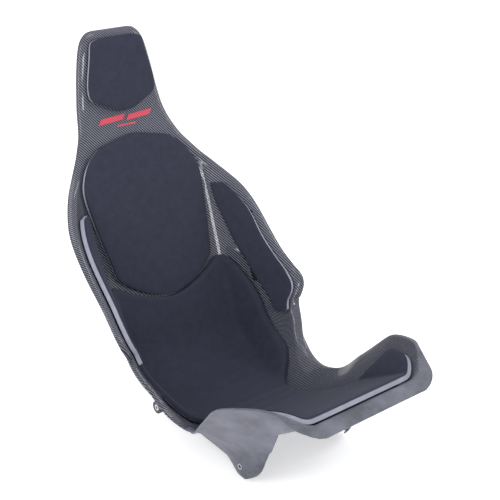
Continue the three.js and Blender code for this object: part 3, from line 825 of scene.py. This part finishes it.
def make_cushions():
    u = np.linspace(0, 1, 44)[:, None]
    w = np.linspace(-1, 1, 41)[None, :]
    reach = np.abs(w)
    bottom = -78 - 34 * np.maximum((reach - 0.22) / 0.78, 0)
    along = lerp(-247 + 7 * reach**6, bottom, u)
    cushion("head_cushion", along, w * head_half(along)[..., 0], 10, lambda a: np.full_like(a, 0.35))

    u = np.linspace(0, 1, 84)[:, None]
    w = np.linspace(-1, 1, 69)[None, :]
    along = lerp(-21 + 21 * np.abs(w) ** 1.3, 372 - 64 * w * w, u)
    cushion("back_cushion", along, w * back_half(along)[..., 0], 10, lambda a: np.full_like(a, 0.5))

    w = np.linspace(-1, 1, 69)[None, :]
    rounded = 9 * np.maximum((np.abs(w) - 0.85) / 0.15, 0) ** 2
    first = 381 - 64 * np.minimum(np.abs(w) / 0.82, 1) ** 1.35 + rounded
    head = lerp(first, 384.0, np.linspace(0, 1, 8)[:, None])
    steps = np.concatenate([np.linspace(384, 460, 17)[1:], np.linspace(460, 550, 40)[1:],
                            np.linspace(550, 868, 84)[1:]])
    along = np.concatenate([head, np.broadcast_to(steps[:, None], (len(steps), w.shape[1]))])
    cushion("seat_cushion", along, w * seat_half(along)[..., 0], 12,
            lambda a: 0.95 - 0.95 * smoothstep(a, 690, 780))

    u = np.linspace(0, 1, 84)[:, None]
    w = np.linspace(-1, 1, 23)[None, :]
    along = lerp(144 + 4 * w, 470.0, u)
    half = lerp(wing_inner(along)[..., 0], wing_outer(along)[..., 0], (w + 1) / 2)
    cushion("left_side_cushion", along, half, 5)
    cushion("right_side_cushion", along, -half, 5)


shell = build_shell()
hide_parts("shell")
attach(shell, "root")
for foot_name, foot_side in (("foot_left", 1), ("foot_right", -1)):
    foot = build_foot(foot_name, foot_side)
    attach(foot, "root")
make_cushions()

# ------------------------------------------------------- carried-over pieces
LOOKS = {"tape": hook_tape(), "emblem": red_film(), "steel": turned_steel(), "boss": boss_resin()}
for name, obj in nodes.items():
    if "tape" in name:
        dress(obj, LOOKS["tape"])
    elif name.startswith("emblem"):
        dress(obj, LOOKS["emblem"])
    elif name.startswith(("foot_bush", "hip_insert")):
        dress(obj, LOOKS["steel"])
    elif name.startswith("hip_boss"):
        dress(obj, LOOKS["boss"])

# ------------------------------------------------------------- camera, light
CAMERA_SPOT = (-1.3117, -1.49446, 1.21673)
CAMERA_TURN, CAMERA_LIFT = math.radians(-38.9472), math.radians(21.0853)
CAMERA_ROLL = math.radians(-1.6594)
camera_data = bpy.data.cameras.new("camera")
camera_data.lens = 75.6
camera_data.sensor_width = 36
camera_data.clip_end = 50
camera = bpy.data.objects.new("camera", camera_data)
camera.matrix_world = (Matrix.Translation(CAMERA_SPOT)
                       @ Matrix.Rotation(CAMERA_TURN, 4, "Z")
                       @ Matrix.Rotation(math.pi / 2 - CAMERA_LIFT, 4, "X")
                       @ Matrix.Rotation(CAMERA_ROLL, 4, "Z"))
bpy.context.collection.objects.link(camera)
bpy.context.scene.camera = camera


def soft_light(name, place_at, aim, size, size_y, power):
    data = bpy.data.lights.new(name, "AREA")
    data.shape, data.size, data.size_y, data.energy = "RECTANGLE", size, size_y, power
    lamp = bpy.data.objects.new(name, data)
    spot_at, target = np.array(place_at, float), np.array(aim, float)
    z = unit(spot_at - target)
    x = unit(np.cross((0.02, 0.03, 1.0), z))
    y = np.cross(z, x)
    lamp.matrix_world = Matrix([(x[i], y[i], z[i], spot_at[i]) for i in range(3)] + [(0, 0, 0, 1)])
    bpy.context.collection.objects.link(lamp)


soft_light("overhead", (0.1, 0.0, 2.6), (0, 0.2, 0.3), 1.2, 1.2, 14)
soft_light("left_bank", (-2.3, 0.2, 1.3), (0, 0.2, 0.4), 0.25, 1.8, 16)
soft_light("right_bank", (2.2, -0.6, 1.5), (0, 0.2, 0.4), 0.25, 1.8, 16)
soft_light("front_bank", (-1.9, -2.35, 0.85), (0, 0.2, 0.4), 0.5, 0.5, 8)
soft_light("ridge_bank", (-1.35, -2.5, 1.35), (0, 0.15, 0.45), 1.2, 0.35, 20)

world = bpy.data.worlds.new("studio")
world.use_nodes = True
world.node_tree.nodes["Background"].inputs["Color"].default_value = (1, 1, 1, 1)
world.node_tree.nodes["Background"].inputs["Strength"].default_value = 1.0
bpy.context.scene.world = world
bpy.context.scene.view_settings.view_transform = "Standard"

floor_mesh = bpy.data.meshes.new("floor")
low = cad_box[0][2] - 0.002
span = 14.0
floor_mesh.from_pydata([(-span, -span, low), (span, -span, low), (span, span, low), (-span, span, low)],
                       [], [(0, 1, 2, 3)])
floor = bpy.data.objects.new("floor", floor_mesh)
bpy.context.collection.objects.link(floor)
pale = Look("pale_floor", Roughness=0.9, Specular_IOR_Level=0.1, Emission_Strength=0.35,
            Emission_Color=(1, 1, 1, 1))
sweep = pale.noise(pale.place(), 3.0, 2.0)
tone = pale.mix(pale.ramp(sweep, 0.3, 0.7), (0.95, 0.95, 0.95, 1), (0.97, 0.97, 0.97, 1))
dress(floor, pale.feed(Base_Color=tone))
